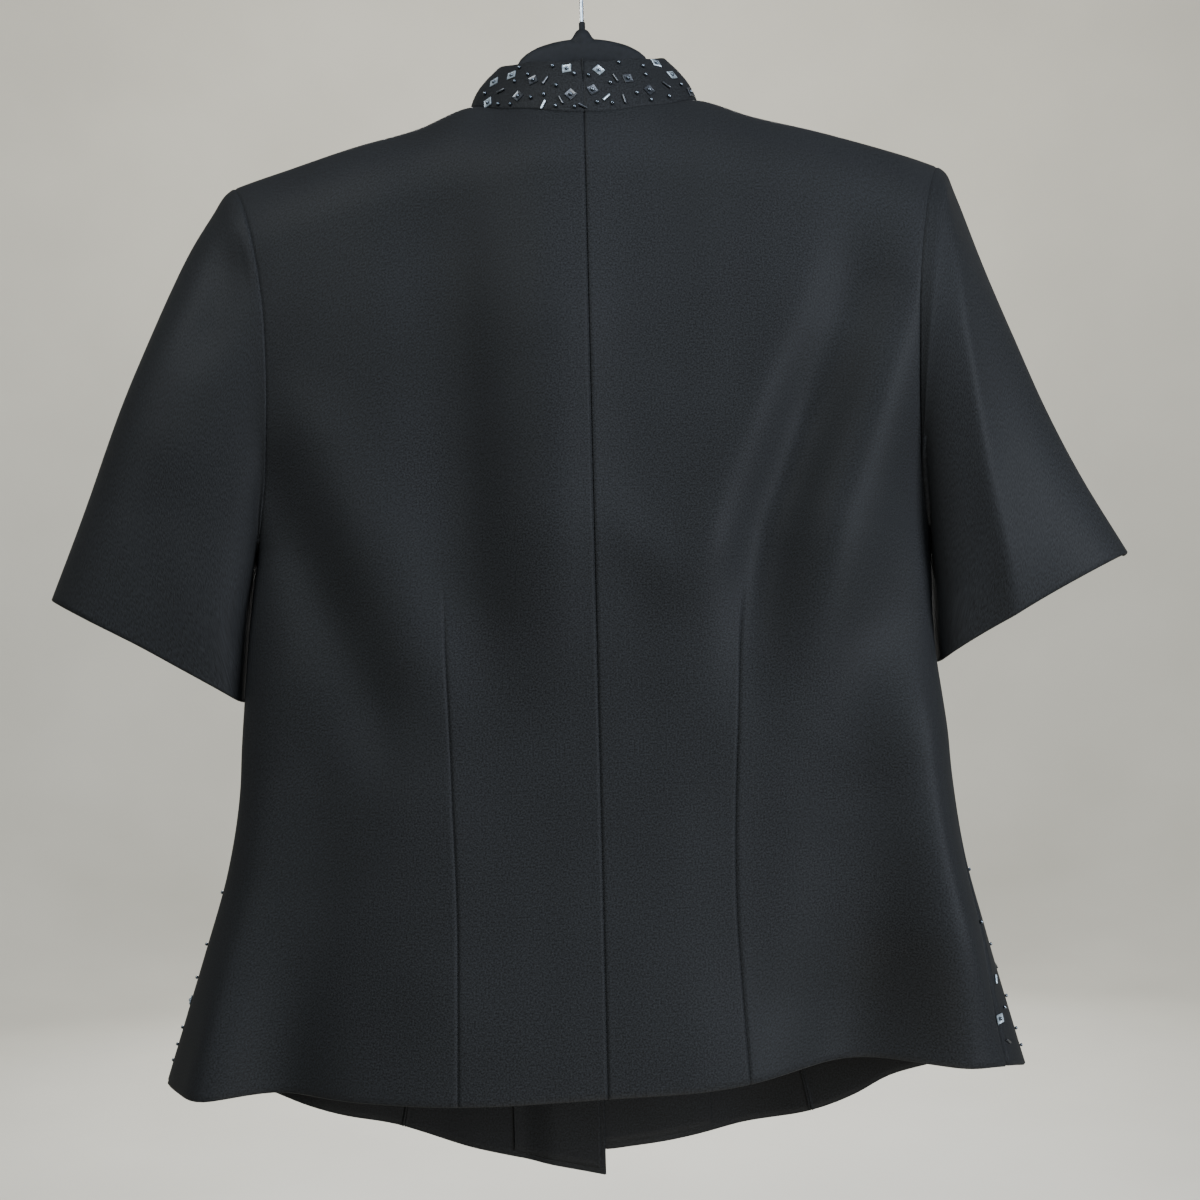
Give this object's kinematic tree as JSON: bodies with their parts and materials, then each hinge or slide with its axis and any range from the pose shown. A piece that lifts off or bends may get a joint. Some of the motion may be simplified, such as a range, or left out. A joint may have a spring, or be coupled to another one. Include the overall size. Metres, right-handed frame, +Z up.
{
  "type": "short-sleeve jacket on a hanger",
  "caption": "Short-sleeve woven jacket with a beaded stand collar, shaped waist and flared hem, hung buttoned on a plastic hanger with a wire hook.",
  "frame": {"origin": "inside top of the hook, where it rests on a rail or peg", "axes": "+Z up along the hook's stem, the jacket's back faces -Y and the wearer would face +Y, the wearer's right is +X"},
  "size_m": [0.657, 0.1494, 0.7795],
  "materials": {
    "cloth": "fine black suiting with a slight sheen",
    "plastic": "black moulded, satin",
    "metal": "bright plated wire",
    "button": "black, low gloss"
  },
  "bodies": {
    "root": {"back_left": "cloth", "back_right": "cloth", "side_front_left": "cloth", "side_front_right": "cloth", "front_left": "cloth", "front_right": "cloth", "facing_left": "cloth", "facing_right": "cloth", "sleeve_left": "cloth", "sleeve_right": "cloth", "collar_left": "cloth", "collar_right": "cloth", "button_1": "button", "button_2": "button", "button_3": "button", "button_4": "button", "hanger": "plastic", "hook": "metal"}
  },
  "joints": []
}
